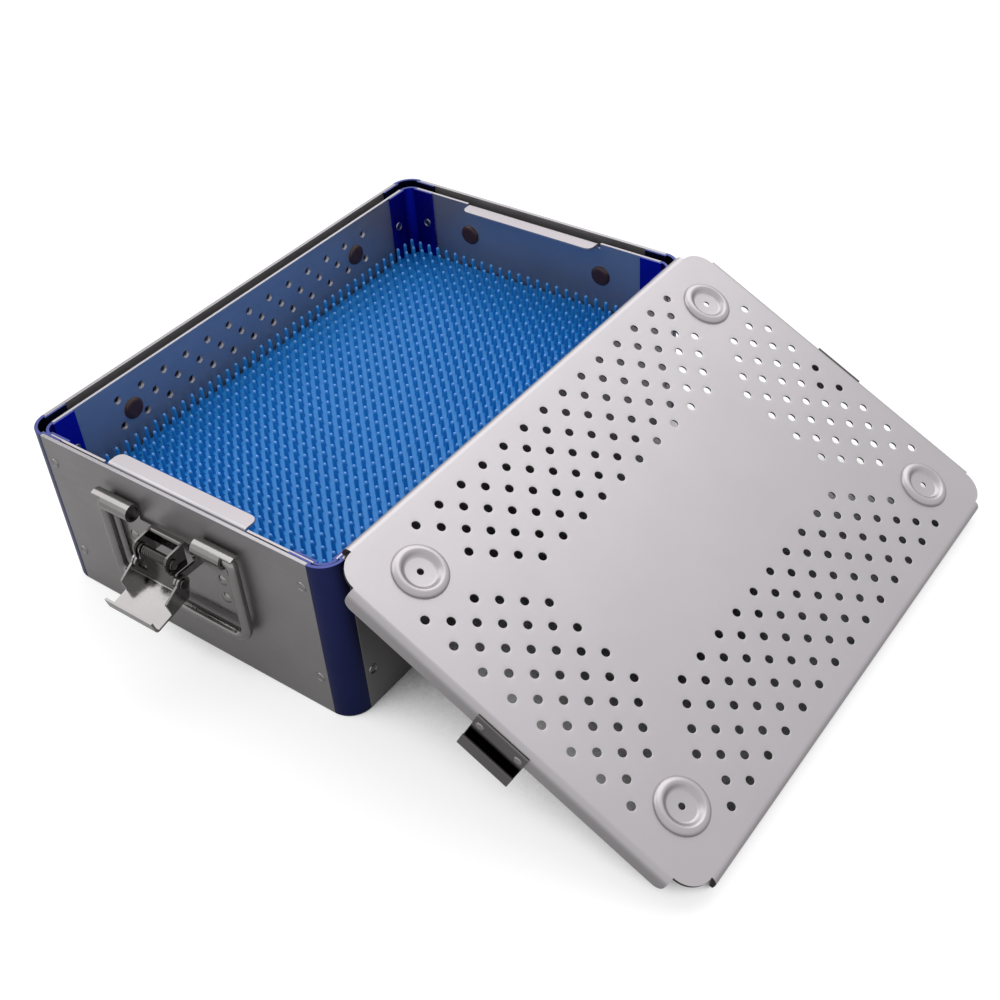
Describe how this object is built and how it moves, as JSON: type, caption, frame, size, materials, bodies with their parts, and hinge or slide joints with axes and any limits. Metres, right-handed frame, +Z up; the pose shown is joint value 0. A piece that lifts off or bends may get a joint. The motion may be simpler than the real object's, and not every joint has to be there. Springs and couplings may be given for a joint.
{
  "type": "sterilization container",
  "caption": "Open riveted aluminium instrument container with blue corner posts, lift-out tray with finger mat, drop handles, draw latches and a perforated lid leaning on its side.",
  "frame": {"origin": "middle of the underside of the base plate, on the surface that the box stands on", "axes": "+Z up, +Y along the box from the front handle to the rear one, +X across to the side where the lid leans"},
  "size_m": [0.3767, 0.365, 0.1009],
  "materials": {
    "satin_aluminium": "satin",
    "anodised_lid_aluminium": "satin anodised",
    "blue_anodised_aluminium": "anodised, satin",
    "rivet_aluminium": "bright",
    "stainless_steel": "polished",
    "brown_silicone": "matt",
    "blue_silicone": "matt"
  },
  "bodies": {
    "container": {"base_plate": "satin_aluminium", "end_panel_front": "satin_aluminium", "end_panel_rear": "satin_aluminium", "side_panel_left": "satin_aluminium", "side_panel_right": "satin_aluminium", "box_post_front_left": "blue_anodised_aluminium", "box_post_front_right": "blue_anodised_aluminium", "box_post_rear_left": "blue_anodised_aluminium", "box_post_rear_right": "blue_anodised_aluminium", "panel_rivets": "rivet_aluminium", "tray_ledge_left": "satin_aluminium", "tray_ledge_right": "satin_aluminium", "ledge_rivets": "rivet_aluminium", "handle_plate_front": "stainless_steel", "handle_rivets_front": "stainless_steel", "lever_pivots_front": "stainless_steel", "handle_plate_rear": "stainless_steel", "handle_rivets_rear": "stainless_steel", "lever_pivots_rear": "stainless_steel"},
    "lid": {"lid_shell": "anodised_lid_aluminium", "catch_strip_front": "stainless_steel", "catch_strip_rear": "stainless_steel", "catch_rivets": "rivet_aluminium"},
    "tray": {"tray_floor_plate": "satin_aluminium", "tray_end_front": "satin_aluminium", "tray_end_rear": "satin_aluminium", "tray_side_left": "satin_aluminium", "tray_side_right": "satin_aluminium", "tray_post_front_left": "blue_anodised_aluminium", "tray_post_front_right": "blue_anodised_aluminium", "tray_post_rear_left": "blue_anodised_aluminium", "tray_post_rear_right": "blue_anodised_aluminium", "tray_rivets": "rivet_aluminium", "tray_buttons": "brown_silicone", "finger_mat": "blue_silicone"},
    "bail_front": {"bail_handle_front": "stainless_steel"},
    "lever_front": {"latch_lever_front": "stainless_steel", "claw_pin_front": "stainless_steel", "claw_spring_front": "stainless_steel"},
    "claw_front": {"latch_claw_front": "stainless_steel"},
    "bail_rear": {"bail_handle_rear": "stainless_steel"},
    "lever_rear": {"latch_lever_rear": "stainless_steel", "claw_pin_rear": "stainless_steel", "claw_spring_rear": "stainless_steel"},
    "claw_rear": {"latch_claw_rear": "stainless_steel"}
  },
  "joints": [
    {"name": "lid_lift", "type": "slide", "parent": "container", "child": "lid", "axis": [0, 0, 1], "range_m": [0, 0.12]},
    {"name": "tray_lift", "type": "slide", "parent": "container", "child": "tray", "axis": [0, 0, 1], "range_m": [0, 0.08]},
    {"name": "bail_front_swing", "type": "hinge", "parent": "container", "child": "bail_front", "pos_m": [0, -0.15155, 0.0765], "axis": [-1, 0, 0], "range_deg": [0, 90]},
    {"name": "lever_front_turn", "type": "hinge", "parent": "container", "child": "lever_front", "pos_m": [0, -0.16, 0.057], "axis": [1, 0, 0], "range_deg": [0, 76]},
    {"name": "claw_front_turn", "type": "hinge", "parent": "lever_front", "child": "claw_front", "pos_m": [0, -0.1595, 0.0665], "axis": [1, 0, 0], "range_deg": [-85, 10]},
    {"name": "bail_rear_swing", "type": "hinge", "parent": "container", "child": "bail_rear", "pos_m": [0, 0.15155, 0.0765], "axis": [1, 0, 0], "range_deg": [0, 90]},
    {"name": "lever_rear_turn", "type": "hinge", "parent": "container", "child": "lever_rear", "pos_m": [0, 0.16, 0.057], "axis": [-1, 0, 0], "range_deg": [0, 76]},
    {"name": "claw_rear_turn", "type": "hinge", "parent": "lever_rear", "child": "claw_rear", "pos_m": [0, 0.1595, 0.0665], "axis": [-1, 0, 0], "range_deg": [-85, 10]}
  ],
  "couplings": [
    {"joint": "claw_front_turn", "follows": "lever_front_turn", "ratio": -1},
    {"joint": "claw_rear_turn", "follows": "lever_rear_turn", "ratio": -1}
  ]
}
